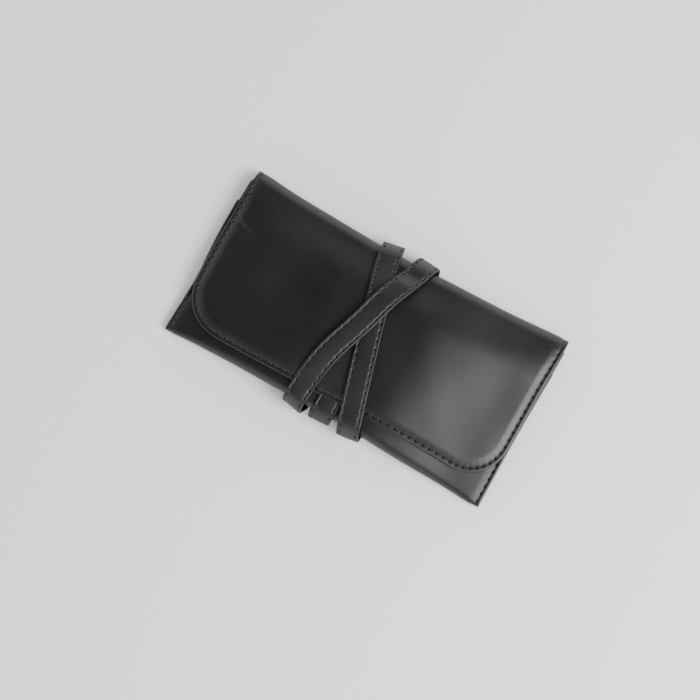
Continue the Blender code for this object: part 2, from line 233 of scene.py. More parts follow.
def settle(points, flare=0.0, edge=0.0, droop=0.0):
    """Turn the plain shape into the soft one.

    x and y move by the outline's offsets, which fade to nothing at the middle. flare pushes
    the upper part of the sides out, edge moves the flap's front edge, and droop lets the
    top fold sink. The front is a pillow, lower by the square of the distance from its
    crest, with a waist under the strap.
    """
    x, y, z = points[..., 0], points[..., 1], points[..., 2]
    along, up = x / HALF_LENGTH, y / HALF_WIDTH
    share = (up + 1.0) / 2.0
    shift_y = mix(-through(BOTTOM_EDGE, along), through(TOP_EDGE, along), share)
    shift_y = shift_y - edge * through(FLAP_EDGE, along) * smoothstep((-up - 0.1) / 0.7)
    side = np.where(along < 0.0, -through(LEFT_SIDE, up), through(RIGHT_SIDE, up))
    shift_x = side * np.abs(along) ** 4
    outwards = np.where(along < 0.0, -1.0, 0.3) * flare * smoothstep((up + 0.45) / 0.9)
    moved = points.copy()
    moved[..., 0] += shift_x + outwards * np.abs(along) ** 8
    moved[..., 1] += shift_y
    sink = droop * FOLD_DROOP * smoothstep((y - FOLD_DROOP_Y) / (HALF_WIDTH - FOLD_DROOP_Y))
    sink = sink + PILLOW * ((y - PILLOW_TOP_Y) / HALF_WIDTH) ** 2 + WAIST * bell(x, WAIST_WIDTH)
    moved[..., 2] -= sink * smoothstep((z - lift(x)) / FOLD_DEPTH)
    return moved


def softness(x, y):
    """Slow hollows and swells of soft leather: crossed sine waves, and a pinch near the left side."""
    u, v = x / MM, y / MM
    slow = 0.16 * np.sin(u / 17.0 + 0.8) * np.cos(v / 15.0 - 0.4)
    slow += 0.10 * np.sin(u / 9.0 - v / 12.0 + 2.0)
    slow += 0.05 * np.sin(u / 5.0 + v / 7.0)
    along = (u + 90.0) * 0.97 - (v - 17.0) * 0.24
    over = (u + 90.0) * 0.24 + (v - 17.0) * 0.97
    pinch = -0.7 * bell(along, 8.0) * bell(over, 2.4) + 0.6 * bell(along - 2.0, 9.0) * bell(over - 4.6, 2.4)
    return (slow + pinch) * MM


def needle_holes(inset, along, pitch, line, width):
    """1 at each needle hole, 0 away from it: a bell across the seam, a cosine's peak along it."""
    beat = np.cos(2.0 * math.pi * along / pitch)
    return bell(inset - line, width) * smoothstep((beat - 0.3) / 0.7)


def padding_sink(inset, line):
    """Fall of the leather from its padded middle to its edge: an S-curve."""
    return -(1.0 - smoothstep((inset - line * 0.3) / SINK_WIDTH))


def seam_relief(inset, along, pitch, line):
    """Leather's height near a seam: a groove at the stitch line, pits at the needle holes,
    puckers between them and a plump rim outside it."""
    beat = np.cos(2.0 * math.pi * along / pitch)
    groove = -0.24 * bell(inset - line, 0.55 * MM)
    holes = -0.46 * needle_holes(inset, along, pitch, line, HOLE_WIDTH)
    pucker = -0.05 * beat * bell(inset - line - 1.3 * MM, 1.0 * MM)
    rim = 0.16 * bell(inset - line * 0.42, 0.7 * MM)
    return (groove + holes + pucker + rim) * MM


def edge_drop(inset, radius):
    """Depth of a rounded edge at a distance inside it: a quarter circle, then 0."""
    inside = np.clip(inset, 0.0, radius)
    return radius - np.sqrt(np.maximum(radius ** 2 - (radius - inside) ** 2, 0.0))


# ---------------------------------------------------------------- meshes


def closed_mesh(name, patches, fans=(), smooth_angle=50.0):
    """Join grids of points, and fans of triangles, into one closed mesh that faces outwards.

    Points that coincide are merged. A fourth value on each point, where there is one, is
    how deep it lies in a needle hole, and becomes a mesh attribute by which the leather's shader paints
    shade into the holes.
    """
    points, faces, start = [], [], 0
    for grid in patches:
        rows, columns = grid.shape[:2]
        index = start + np.arange(rows * columns).reshape(rows, columns)
        corners = (index[:-1, :-1], index[1:, :-1], index[1:, 1:], index[:-1, 1:])
        faces.append(np.stack([c.ravel() for c in corners], axis=1))
        points.append(grid.reshape(rows * columns, -1))
        start += rows * columns
    for fan in fans:
        index = start + np.arange(len(fan) * 3).reshape(-1, 3)
        faces.append(index[:, (0, 1, 2, 2)])
        points.append(fan.reshape(len(fan) * 3, -1))
        start += len(fan) * 3
    points, faces = np.concatenate(points), np.concatenate(faces)
    keys = np.round(points[:, :3] / MERGE).astype(np.int64)
    _, first, merged = np.unique(keys, axis=0, return_index=True, return_inverse=True)
    points, faces = points[first], merged.reshape(-1)[faces]
    kept = []
    for corners in faces.tolist():
        face = [v for i, v in enumerate(corners) if v != corners[i - 1]]
        if len(set(face)) > 2:
            kept.append(face)
    mesh = bpy.data.meshes.new(name)
    mesh.from_pydata(points[:, :3].tolist(), [], kept)
    if points.shape[1] > 3:
        # painted shade: this attribute darkens the leather and cuts its specular in the needle holes
        hole_shade = mesh.attributes.new("hole_shade", "FLOAT", "POINT")
        hole_shade.data.foreach_set("value", points[:, 3])
    shape = bmesh.new()
    shape.from_mesh(mesh)
    bmesh.ops.recalc_face_normals(shape, faces=shape.faces)
    shape.to_mesh(mesh)
    shape.free()
    mesh.shade_smooth()
    mesh.set_sharp_from_angle(angle=math.radians(smooth_angle))
    return mesh


def fan_between(fine, coarse):
    """Triangles that join a row of many points to a row of fewer, an equal run to each step."""
    steps = (len(fine) - 1) // (len(coarse) - 1)
    first = np.arange(len(coarse) - 1)
    triangles = [np.stack([coarse[first], fine[first * steps + steps // 2], coarse[first + 1]], axis=1)]
    for j in range(steps):
        tip = coarse[first + (1 if j >= steps // 2 else 0)]
        triangles.append(np.stack([tip, fine[first * steps + j], fine[first * steps + j + 1]], axis=1))
    return np.concatenate(triangles)


def shell_patches(outer, inner):
    """The two faces of a sheet and the four strips that close its edges."""
    sides = [np.stack([outer[0], inner[0]]), np.stack([inner[-1], outer[-1]])]
    sides.append(np.stack([inner[:, 0], outer[:, 0]]))
    sides.append(np.stack([outer[:, -1], inner[:, -1]]))
    return [outer, inner] + sides


def with_hole_shade(points, hole_shade):
    """Points with the depth in a needle hole as their fourth value, which sets the shade painted into the
    hole.
    """
    return np.concatenate([points, hole_shade[..., None]], axis=-1)


def add_piece(name, mesh, material):
    """Put a finished mesh in the scene with its material."""
    piece = bpy.data.objects.new(name, mesh)
    piece.data.materials.append(material)
    bpy.context.collection.objects.link(piece)
    return piece


def stations(start, end, step):
    """Even places from start to end, about a step apart."""
    count = max(int(round(abs(end - start) / step)), 1)
    return np.linspace(start, end, count + 1)


def subdivide(places, parts):
    """Split each step between places into equal parts."""
    whole = np.arange(len(places))
    return np.interp(np.linspace(0, len(places) - 1, (len(places) - 1) * parts + 1), whole, places)


def rim_insets(depth, radius):
    """Distances inside an edge: close round its curve and across the stitches, wider beyond."""
    curve = radius * (1.0 - np.cos(np.linspace(0.0, math.pi / 2, 5)))
    seam = np.arange(radius + 0.3 * MM, 4.3 * MM, 0.3 * MM)
    beyond = stations(4.6 * MM, depth, 0.8 * MM) if depth > 4.6 * MM else []
    return np.concatenate([curve, seam[seam < depth - 0.1 * MM], beyond])


# ---------------------------------------------------------------- stitches


def stitch_places(path, normals, along, pitch):
    """Centres, directions and normals of the stitches on a path, one between each two holes."""
    first, last = math.ceil(along[0] / pitch), math.floor(along[-1] / pitch)
    places = (np.arange(first, last) + 0.5) * pitch

    def at(place, values):
        """The values read off at each place along the path."""
        return np.stack([np.interp(place, along, values[:, i]) for i in range(3)], axis=1)

    reach = 0.3 * pitch
    ahead = at(places + reach, path) - at(places - reach, path)
    ahead /= np.linalg.norm(ahead, axis=1, keepdims=True)
    up = at(places, normals)
    up -= ahead * (up * ahead).sum(axis=1, keepdims=True)
    up /= np.linalg.norm(up, axis=1, keepdims=True)
    return at(places, path), ahead, up


def stitch_patches(line, pitch, settings):
    """Each stitch is a short six-sided tube that lies on the leather and dives into its holes."""
    radius = settings.thread_width / 2
    length = pitch * settings.stitch_share
    share = np.array([-1.0, -0.97, -0.8, -0.45, 0.0, 0.45, 0.8, 0.97, 1.0])
    swell = np.array([0.0, 0.7, 0.9, 1.0, 1.05, 1.0, 0.9, 0.7, 0.0])
    dive = -2.2 * share ** 4
    turn = np.linspace(0.0, 2.0 * math.pi, 7)
    patches = []
    for centre, along, out in zip(*stitch_places(*line, pitch)):
        across = np.cross(along, out)
        spine = centre + along * (share * length / 2)[:, None] + out * (dive * radius)[:, None]
        ring = across * np.cos(turn)[:, None] + out * np.sin(turn)[:, None]
        patches.append(spine[:, None, :] + ring[None] * (swell * radius)[:, None, None])
    return patches


def add_stitches(name, lines, pitch, settings):
    """Make one piece of all the stitches along several seam lines."""
    patches = []
    for line in lines:
        patches += stitch_patches(line, pitch, settings)
    thread = case_material("bonded nylon thread")
    return add_piece(name, closed_mesh(name, patches, smooth_angle=70.0), thread)


# ---------------------------------------------------------------- the case's leather


def pocket_points(x, run, back_depth, front_depth):
    """The pocket's U at each x and run along it, with the outward normal.

    run goes from 0 to 1 down the back, 1 to 2 round the bottom fold as a half circle,
    and 2 to 3 up the front.
    """
    depth = pocket_depth(x)
    radius = (depth - back_depth - front_depth) / 2
    centre_y = -HALF_WIDTH + (back_depth + front_depth) / 2 + radius
    base = lift(x)
    angle = math.pi * np.clip(run - 1.0, 0.0, 1.0)
    back_y = mix(FOLD_CENTRE_Y, centre_y, np.clip(run, 0.0, 1.0))
    front_y = mix(centre_y, POCKET_MOUTH_Y, np.clip(run - 2.0, 0.0, 1.0))
    y = np.where(run < 1.0, back_y, np.where(run < 2.0, centre_y - radius * np.sin(angle), front_y))
    front_z = flap_height(x, y) - FLAP_RISE - front_depth
    arc_z = back_depth + radius - radius * np.cos(angle)
    z = base + np.where(run < 1.0, back_depth, np.where(run < 2.0, arc_z, front_z))
    normal = np.stack([np.zeros_like(y), -np.sin(angle), -np.cos(angle)], axis=-1)
    return np.stack([x + 0.0 * y, y, z], axis=-1), normal


def pocket_run_length(run):
    """Length in metres down the pocket's U at the seams for a run from 0 to 3."""
    straight_back = FOLD_CENTRE_Y + HALF_WIDTH - POCKET_DEPTH_SEAM / 2
    arc = math.pi * POCKET_DEPTH_SEAM / 2
    straight_front = POCKET_MOUTH_Y + HALF_WIDTH - POCKET_DEPTH_SEAM / 2
    return np.interp(run, [0, 1, 2, 3], np.cumsum([0.0, straight_back, arc, straight_front]))


def pocket_faces(x, run, settings):
    """Outer and inner points of the pocket's leather, with the shade painted into the outer ones' needle
    holes.
    """
    points, normal = pocket_points(x, run, 0.0, 0.0)
    side = HALF_LENGTH - np.abs(x)
    mouth = (3.0 - run) * (POCKET_MOUTH_Y + HALF_WIDTH)
    along = pocket_run_length(run)
    pitch, line = settings.stitch_pitch, settings.seam_inset
    on_table = np.clip(1.0 - points[..., 2] / (1.5 * MM), 0.0, 1.0)
    relief = seam_relief(side, along, pitch, line) + 0.4 * seam_relief(mouth, x, pitch, line)
    broad = POCKET_SINK * padding_sink(side, line) + softness(x * 0.9, points[..., 1] + 30.0 * MM)
    relief, broad = relief * (1.0 - 0.85 * on_table), broad * (1.0 - on_table)
    # how much shade is painted into each needle hole
    hole_shade = needle_holes(side, along, pitch, line, HOLE_WIDTH)
    radius = LEATHER / 2
    drop = edge_drop(np.minimum(side, mouth), radius)
    relief = np.where(drop < radius, relief, 0.0)
    outer = settle(points + normal * (broad + relief - drop)[..., None], flare=POCKET_FLARE)
    inner = settle(points + normal * (broad - LEATHER + drop)[..., None], flare=POCKET_FLARE)
    return with_hole_shade(outer, hole_shade), with_hole_shade(inner, 0.0 * hole_shade)


def pocket_leather_mesh(settings):
    """The pocket's leather: a fine strip along each side seam and a coarser middle."""
    insets = rim_insets(RIM_WIDTH, LEATHER / 2)
    middle_x = stations(-HALF_LENGTH + RIM_WIDTH + RIM_STEP, HALF_LENGTH - RIM_WIDTH - RIM_STEP, 1.6 * MM)
    front_length = POCKET_MOUTH_Y + HALF_WIDTH
    to_mouth = np.array([5.0, 3.9, 3.1, 2.5, 1.9, 1.3, 0.8, 0.5, 0.25, 0.06, 0.0]) * MM / front_length
    coarse = np.concatenate([stations(0.0, 1.0, 1.5 / 95), stations(1.0, 2.0, 0.08)[1:],
                             stations(2.0, 3.0 - to_mouth[0], 1.5 / 83)[1:], 3.0 - to_mouth[1:]])
    fine = subdivide(coarse, 3)
    patches, fans, rows = [], [], []
    for side in (-1.0, 1.0):
        x, run = np.meshgrid(side * (HALF_LENGTH - insets), fine, indexing="ij")
        strip = pocket_faces(x, run, settings)
        patches += strip
        border_x = np.full_like(coarse, side * (HALF_LENGTH - RIM_WIDTH - RIM_STEP))
        border = pocket_faces(border_x, coarse, settings)
        fans += [fan_between(face[-1], edge) for face, edge in zip(strip, border)]
        rows.append([face[:, 0] for face in strip])
    x, run = np.meshgrid(middle_x, coarse, indexing="ij")
    middle = pocket_faces(x, run, settings)
    patches += middle
    outer, inner = ([rows[0][i], middle[i][:, 0], rows[1][i][::-1]] for i in (0, 1))
    patches.append(np.stack([np.concatenate(outer), np.concatenate(inner)]))
    return closed_mesh("pocket_leather", patches, fans)


def pocket_seam_line(side, settings):
    """The stitch line up one side of the pocket, front and back, with its normals."""
    run = np.linspace(0.004, 2.985, 900)
    x = np.full_like(run, side * (HALF_LENGTH - settings.seam_inset))
    points, normal = pocket_points(x, run, 0.0, 0.0)
    pitch, line = settings.stitch_pitch, settings.seam_inset
    on_table = np.clip(1.0 - points[..., 2] / (1.5 * MM), 0.0, 1.0)
    relief = seam_relief(line, pitch / 2, pitch, line) * (1.0 - 0.85 * on_table)
    broad = POCKET_SINK * padding_sink(line, line) + softness(x * 0.9, points[..., 1] + 30.0 * MM)
    height = relief + broad * (1.0 - on_table) + settings.thread_width * THREAD_SIT - 0.1 * MM * on_table
    points = points + normal * height[:, None]
    return settle(points, flare=POCKET_FLARE), normal, pocket_run_length(run)


def mouth_seam_line(settings):
    """The stitch line along the pocket's mouth."""
    x = np.linspace(-HALF_LENGTH + 5.0 * MM, HALF_LENGTH - 5.0 * MM, 600)
    share = settings.seam_inset / (POCKET_MOUTH_Y + HALF_WIDTH)
    points, normal = pocket_points(x, np.full_like(x, 3.0 - share), 0.0, 0.0)
    pitch, line = settings.stitch_pitch, settings.seam_inset
    relief = 0.4 * seam_relief(line, pitch / 2, pitch, line) + softness(x * 0.9, points[..., 1] + 30.0 * MM)
    return settle(points + normal * relief[:, None], flare=POCKET_FLARE), normal, x


# ---------------------------------------------------------------- the flap


def outline(inset, length):
    """The flap's outline from top left to top right, moved inwards by inset.

    length runs along the edge: down the left side, round a quarter circle, along the
    front edge, round the other corner and up the right side. Gives x, y and the outward way.
    """
    straight = FOLD_CENTRE_Y - FLAP_EDGE_Y - FLAP_CORNER
    arc = FLAP_CORNER * math.pi / 2
    front = 2.0 * (FLAP_HALF_LENGTH - FLAP_CORNER)
    total = 2.0 * (straight + arc) + front
    right = length > total / 2
    near = np.where(right, total - length, length)
    turn = np.clip((near - straight) / arc, 0.0, 1.0) * math.pi / 2
    radius = FLAP_CORNER - inset
    corner_x = -FLAP_HALF_LENGTH + FLAP_CORNER
    corner_y = FLAP_EDGE_Y + FLAP_CORNER
    x = corner_x - radius * np.cos(turn) + np.maximum(near - straight - arc, 0.0)
    y = corner_y - radius * np.sin(turn) + np.maximum(straight - near, 0.0)
    way_x = np.where(right, np.cos(turn), -np.cos(turn))
    return np.where(right, -x, x), y, way_x, -np.sin(turn)


def outline_length():
    """Length of the flap's outline at its edge."""
    straight = FOLD_CENTRE_Y - FLAP_EDGE_Y - FLAP_CORNER
    front = 2.0 * (FLAP_HALF_LENGTH - FLAP_CORNER)
    return 2.0 * (straight + FLAP_CORNER * math.pi / 2) + front, straight


def flap_points(x, y, depth):
    """The flap's face at x and y, depth below its outer face."""
    z = lift(x) + flap_height(x, y) - depth
    normal = np.zeros(x.shape + (3,))
    normal[..., 2] = 1.0
    return np.stack([x, y, z], axis=-1), normal


def fold_points(x, turn, depth):
    """The top fold: a half turn about the fold's centre line, from the back (0) to the flap (1)."""
    angle = math.pi * (1.0 - turn)
    radius = FOLD_RADIUS - depth
    y = FOLD_CENTRE_Y + radius * np.sin(angle)
    z = lift(x) + FOLD_RADIUS + radius * np.cos(angle)
    normal = np.stack([0.0 * x, np.sin(angle) + 0.0 * x, np.cos(angle) + 0.0 * x], axis=-1)
    return np.stack([x + 0.0 * turn, y + 0.0 * x, z], axis=-1), normal


def flap_broad(points, inset, line):
    """The flap's padding and soft swells, both dying away round the top fold."""
    away = smoothstep((FOLD_CENTRE_Y + 4.0 * MM - points[..., 1]) / (20.0 * MM))
    sink = mix(0.5 * MM, FLAP_SINK, away) * padding_sink(inset, line)
    return sink + softness(points[..., 0], points[..., 1]) * away


def flap_faces(place, inset, depth, thickness, settings, sewn):
    """Outer and inner points of a sheet of the flap or its fold, with the shade painted into the outer
    ones' needle holes.

    place is the points and normals at its depth, their inset and their length along the edge.
    """
    points, normal, inset_here, along = place
    relief, broad, hole_shade = (np.zeros(inset_here.shape) for _ in range(3))
    drop = edge_drop(inset_here - inset, thickness / 2)
    if sewn:
        pitch, line = settings.stitch_pitch, settings.seam_inset
        broad = flap_broad(points, inset_here, line)
        relief = np.where(drop < thickness / 2, seam_relief(inset_here, along, pitch, line), 0.0)
        # how much shade is painted into each needle hole
        hole_shade = needle_holes(inset_here, along, pitch, line, HOLE_WIDTH)
    outer = settle(points + normal * (broad + relief - drop)[..., None], edge=1.0, droop=1.0)
    inner = settle(points + normal * (broad - thickness + drop)[..., None], edge=1.0, droop=1.0)
    return with_hole_shade(outer, hole_shade), with_hole_shade(inner, 0.0 * hole_shade)


def flap_sheet(name, inset, depth, thickness, settings, sewn):
    """The flap as one closed sheet; a sewn one carries on over the top fold.

    The rim is a fine band of nested outlines along the free edge. The middle is a coarser
    grid, its columns set by the front edge and its rows by the sides. The fold carries the
    columns of both over the top.
    """
    total, straight = outline_length()
    if sewn:
        step, parts = 1.5 * MM, 3
        insets = rim_insets(RIM_WIDTH, thickness / 2)
    else:
        step, parts = 4.0 * MM, 1
        insets = inset + np.array([0.0, 0.04, 0.1, 0.3, 0.6, 1.0]) * (RIM_WIDTH - inset)
    front = total / 2 - straight - FLAP_CORNER * math.pi / 2
    ends = (0.0, straight, total / 2 - front, total / 2 + front, total - straight, total)
    coarse = [stations(a, b, step) for a, b in zip(ends[:-1], ends[1:])]
    sides = len(coarse[0])
    coarse = np.concatenate([run[:-1] for run in coarse] + [[total]])
    fine = subdivide(coarse, parts)

    def on_outline(inset_here, length):
        """The flap's face at each inset and length along its outline."""
        x, y, _, _ = outline(inset_here, length)
        return (*flap_points(x, y, depth), inset_here, length)

    rim_place = on_outline(*np.meshgrid(insets, fine, indexing="ij"))
    border_place = on_outline(np.full_like(coarse, RIM_WIDTH + RIM_STEP), coarse)
    border = border_place[0]
    front_run = slice(sides - 1, len(border) - sides + 1)
    column_x, low_y = border[front_run, 0], border[front_run, 1]
    share = ((border[:sides, 1] - low_y[0]) / (FOLD_CENTRE_Y - low_y[0]))[::-1]
    x = np.repeat(column_x[:, None], sides, axis=1)
    y = low_y[:, None] + (FOLD_CENTRE_Y - low_y)[:, None] * share[None]
    y[:, -1] = FOLD_CENTRE_Y
    middle_place = (*flap_points(x, y, depth), np.full_like(x, RIM_WIDTH + RIM_STEP), 0.0 * x)

    rim_x = np.append(rim_place[0][:, 0, 0], border[0, 0])
    fold_x = np.concatenate([rim_x, column_x[1:-1], -rim_x[::-1]])
    rim_inset = np.append(insets, RIM_WIDTH + RIM_STEP)
    middle_inset = np.full(len(column_x) - 2, RIM_WIDTH + RIM_STEP)
    fold_inset = np.concatenate([rim_inset, middle_inset, rim_inset[::-1]])
    fold_x, turn = np.meshgrid(fold_x, np.linspace(0.0, 1.0, 61), indexing="ij")
    fold_inset = np.repeat(fold_inset[:, None], turn.shape[1], axis=1)
    before = (turn - 1.0) * math.pi * FOLD_RADIUS
    fold_along = np.where(fold_x < 0.0, before, total - before)
    fold_place = (*fold_points(fold_x, turn, depth), fold_inset, fold_along)

    rim, border, middle, fold = (flap_faces(place, inset, depth, thickness, settings, sewn)
                                 for place in (rim_place, border_place, middle_place, fold_place))
    fans = [fan_between(rim[i][-1], border[i]) for i in (0, 1)]
    if sewn:
        closing = np.stack([fold[0][:, 0], fold[1][:, 0]])
        return closed_mesh(name, [*rim, *middle, *fold, closing], fans)
    top = [np.concatenate([rim[i][:, 0], middle[i][:, -1], rim[i][::-1, -1]]) for i in (0, 1)]
    return closed_mesh(name, [*rim, *middle, np.stack(top)], fans)


def flap_seam_line(settings):
    """The stitch line round the flap: over the fold, down one side, along and up the other."""
    total, _ = outline_length()
    line, pitch = settings.seam_inset, settings.stitch_pitch
    turn = np.linspace(0.03, 1.0, 120)
    edge_x = np.full_like(turn, -FLAP_HALF_LENGTH + line)
    before = (turn - 1.0) * math.pi * FOLD_RADIUS
    length = np.linspace(0.0, total, 2400)[1:-1]
    x, y, _, _ = outline(line, length)
    parts = (fold_points(edge_x, turn, 0.0), flap_points(x, y, 0.0), fold_points(-edge_x, turn[::-1], 0.0))
    path, normal = (np.concatenate([part[i] for part in parts]) for i in (0, 1))
    along = np.concatenate([before, length, total - before[::-1]])
    height = seam_relief(line, pitch / 2, pitch, line) + flap_broad(path, line, line)
    path = path + normal * (height + settings.thread_width * THREAD_SIT)[:, None]
    return settle(path, edge=1.0, droop=1.0), normal, along


# ---------------------------------------------------------------- the strap


def start_level():
    """Middle height of the strap where it lies on the pocket."""
    return BACK_LIFT + POCKET_DEPTH_MIDDLE + GAP + STRAP_THICKNESS / 2


def band_level(y):
    """Middle height of a front band: it follows the flap, then dips to the pocket's bottom."""
    y = np.asarray(y, float)
    sunk = FLAP_SINK * 0.8 * smoothstep((-y - 26.0 * MM) / (16.0 * MM))
    above = BACK_LIFT + flap_height(0.0 * y, y) + BAND_CLEARANCE + STRAP_THICKNESS / 2 - sunk
    low = start_level() + STRAP_THICKNESS + GAP
    centre = -HALF_WIDTH + POCKET_DEPTH_MIDDLE / 2
    return mix(low, above, smoothstep((y - centre) / (BAND_RAMP_TOP_Y - centre)))


def crossing_rise(y):
    """Extra height of the upper band where it lies over the lower one."""
    above = (y - CROSSING_Y - CROSSING_REACH) / CROSSING_RAMP
    below = (CROSSING_Y - CROSSING_REACH - y) / CROSSING_RUN_OUT
    return (STRAP_THICKNESS + GAP) * (1.0 - smoothstep(above)) * (1.0 - smoothstep(below))


def heading_vector(index):
    """Direction of a pass seen from above; even passes run down the front."""
    angle = math.radians(PASS_HEADINGS[index])
    down = -1.0 if index % 2 == 0 else 1.0
    return np.array([math.sin(angle), down * math.cos(angle)])


def plan_strap():
    """Work out each bend and pass of the strap in wrapping order.

    A bend is half a cylinder. Its axis, seen from above, is square to the difference of
    the two headings that it joins, so that the strap wraps round it without stretching.
    """
    back = TABLE_CLEARANCE + STRAP_THICKNESS / 2
    tail = back + STRAP_THICKNESS + GAP
    point = np.array([STRAP_START_X, FLAP_EDGE_Y])
    bends, passes, run = [], [], 0.0
    for i, slack in enumerate(BEND_SLACK):
        heading, after = heading_vector(i), heading_vector(i + 1)
        outward = (heading - after) / np.linalg.norm(heading - after)
        along = np.array([abs(outward[1]), -outward[0] * math.copysign(1.0, outward[1])])
        bottom = -HALF_WIDTH + POCKET_DEPTH_MIDDLE / 2 - slack
        axis_y = bottom if i % 2 == 0 else FOLD_CENTRE_Y + slack
        entry = point + heading * ((axis_y - point[1]) / heading[1])
        front = start_level() if i == 0 else float(band_level(entry[1]))
        behind = tail if i == len(BEND_SLACK) - 1 else back
        radius = (front - behind) / 2
        square = float(heading @ outward)
        bends.append({
            "entry": entry, "along": along, "outward": outward, "radius": radius,
            "level": (front + behind) / 2, "half_arc": math.pi * radius / 2 / square,
            "front": front, "behind": behind,
        })
        length = float(np.linalg.norm(entry - point))
        passes.append({"from": point, "heading": heading, "length": length, "run": run})
        run += length + 2 * bends[-1]["half_arc"]
        point = entry + along * (math.pi * radius * float(heading @ along) / square)
    heading = heading_vector(len(BEND_SLACK))
    passes.append({"from": point, "heading": heading, "length": TAIL_LENGTH, "run": run})
    return bends, passes


def strap_points(index, bends, passes, run, across, height):
    """Points of the strap: run along a pass, across its width, height above its middle.

    On the flat a point is the pass's line plus the sideways step. Past a bend's axis it is
    wrapped: its distance past the axis becomes an angle round the bend's cylinder.
    """
    this = passes[index]
    side = 1.0 if index % 2 == 0 else -1.0
    heading = this["heading"]
    width_way = np.array([-heading[1], heading[0]]) * side
    flat = this["from"] + run[..., None] * heading + across[..., None] * width_way
    if index == 0:
        level = np.full(flat.shape[:-1], start_level())
    elif side > 0.0:
        level = band_level(flat[..., 1])
        if index == 4:
            level = level + crossing_rise(flat[..., 1])
    else:
        level = np.full(flat.shape[:-1], bends[index - 1]["level"] - bends[index - 1]["radius"])
    result = np.concatenate([flat, (level + side * height)[..., None]], axis=-1)
    for bend in [bends[i] for i in (index - 1, index) if 0 <= i < len(bends)]:
        offset = flat - bend["entry"]
        past = offset @ bend["outward"]
        foot = bend["entry"] + (offset @ bend["along"])[..., None] * bend["along"]
        angle = past / bend["radius"]
        radius = bend["radius"] + height
        wrapped = foot + (radius * np.sin(angle))[..., None] * bend["outward"]
        z = bend["level"] + side * radius * np.cos(angle)
        wrapped = np.concatenate([wrapped, z[..., None]], axis=-1)
        result = np.where((past > 0.0)[..., None], wrapped, result)
    return result


def strap_ends(index, bends, passes):
    """First and last place, along the whole strap, of the piece round a bend."""
    first = passes[index]["run"] + SPLIT_SHARES[index] * passes[index]["length"]
    after = passes[index + 1]
    last = after["run"] + SPLIT_SHARES[index + 1] * after["length"]
    if index == 0:
        first = -STRAP_TONGUE
    if index == len(bends) - 1:
        last = after["run"] + after["length"]
    return first, last


def strap_grid(index, bends, passes, run, across, height):
    """Points of the piece round a bend, taken from the pass before its middle, then the one after.

    The whole strap then sways sideways and settles with the case under it.
    """
    bend = bends[index]
    middle = passes[index]["run"] + passes[index]["length"] + bend["half_arc"]
    here = strap_points(index, bends, passes, run - passes[index]["run"], across, height)
    start = passes[index + 1]["run"]
    there = strap_points(index + 1, bends, passes, run - start, across, height)
    points = np.where((run <= middle)[..., None], here, there)
    points[..., 0] += through(STRAP_SWAY, run / MM)
    return settle(points, droop=0.8)


def strap_profile(across, run, settings):
    """Height of the strap's face: crowned, with a groove, pits and a plump rim along each edge."""
    half = settings.strap_width / 2
    inset = half - np.abs(across)
    line = settings.strap_inset
    crown = 0.26 * (1.0 - (across / half) ** 2)
    groove = -0.20 * bell(inset - line, 0.5 * MM)
    rim = 0.07 * bell(inset - 0.4 * line, 0.5 * MM)
    holes = -0.36 * needle_holes(inset, run, settings.strap_pitch, line, 0.55 * MM)
    return (crown + groove + rim + holes) * MM


def strap_layer_mesh(name, index, plan, top, bottom, settings, crowned):
    """One layer of the strap round a bend, a flat ribbon with rounded edges."""
    bends, passes = plan
    first, last = strap_ends(index, bends, passes)
    half = settings.strap_width / 2
    radius = (top - bottom) / 2
    curve = radius * (1.0 - np.cos(np.linspace(0.0, math.pi / 2, 4)))
    seam = np.arange(radius + 0.27 * MM, 2.9 * MM, 0.27 * MM)
    inset = np.concatenate([curve, seam, stations(3.2 * MM, half, 0.9 * MM)])
    across = np.concatenate([inset - half, (half - inset)[-2::-1]])
    if index == 0 and not crowned:
        first = GAP
    run, across = np.meshgrid(stations(first, last, settings.strap_pitch / 9), across, indexing="ij")
    drop = edge_drop(half - np.abs(across), radius)
    hole_shade = np.zeros_like(run)
    # only the outer layer gets shade painted into its needle holes
    if crowned:
        hole_shade = needle_holes(half - np.abs(across), run, settings.strap_pitch, settings.strap_inset,
                              STRAP_HOLE_WIDTH)
    relief = strap_profile(across, run, settings) if crowned else 0.0 * run
    if index == len(bends) - 1:
        tip = last - run
        nose = half - np.sqrt(np.maximum(half ** 2 - np.clip(half - tip, 0.0, half) ** 2, 0.0))
        across = across * (1.0 - nose / half * 0.999)
        drop = np.maximum(drop, edge_drop(tip, radius))
    outer = strap_grid(index, bends, passes, run, across, top - drop + relief)
    under = strap_grid(index, bends, passes, run, across, bottom + drop)
    return closed_mesh(name, shell_patches(with_hole_shade(outer, hole_shade), with_hole_shade(under, 0.0 * hole_shade)))


def strap_seam_lines(index, plan, settings):
    """The two stitch lines along the strap's edges."""
    bends, passes = plan
    first, last = strap_ends(index, bends, passes)
    if index == 0:
        first = 0.5 * MM
    if index == len(bends) - 1:
        last = last - settings.strap_width / 2
    pitch = settings.strap_pitch
    run = np.linspace(math.ceil(first / pitch) * pitch, (math.ceil(last / pitch) + 0.001) * pitch, 700)
    lines = []
    for side in (-1.0, 1.0):
        across = np.full_like(run, side * (settings.strap_width / 2 - settings.strap_inset))
        sit = THREAD_SIT * settings.thread_width
        height = STRAP_THICKNESS / 2 + strap_profile(across, pitch / 2, settings) + sit
        path = strap_grid(index, bends, passes, run, across, height)
        above = strap_grid(index, bends, passes, run, across, height + 0.1 * MM)
        lines.append((path, (above - path) / (0.1 * MM), run))
    return lines


# ---------------------------------------------------------------- materials


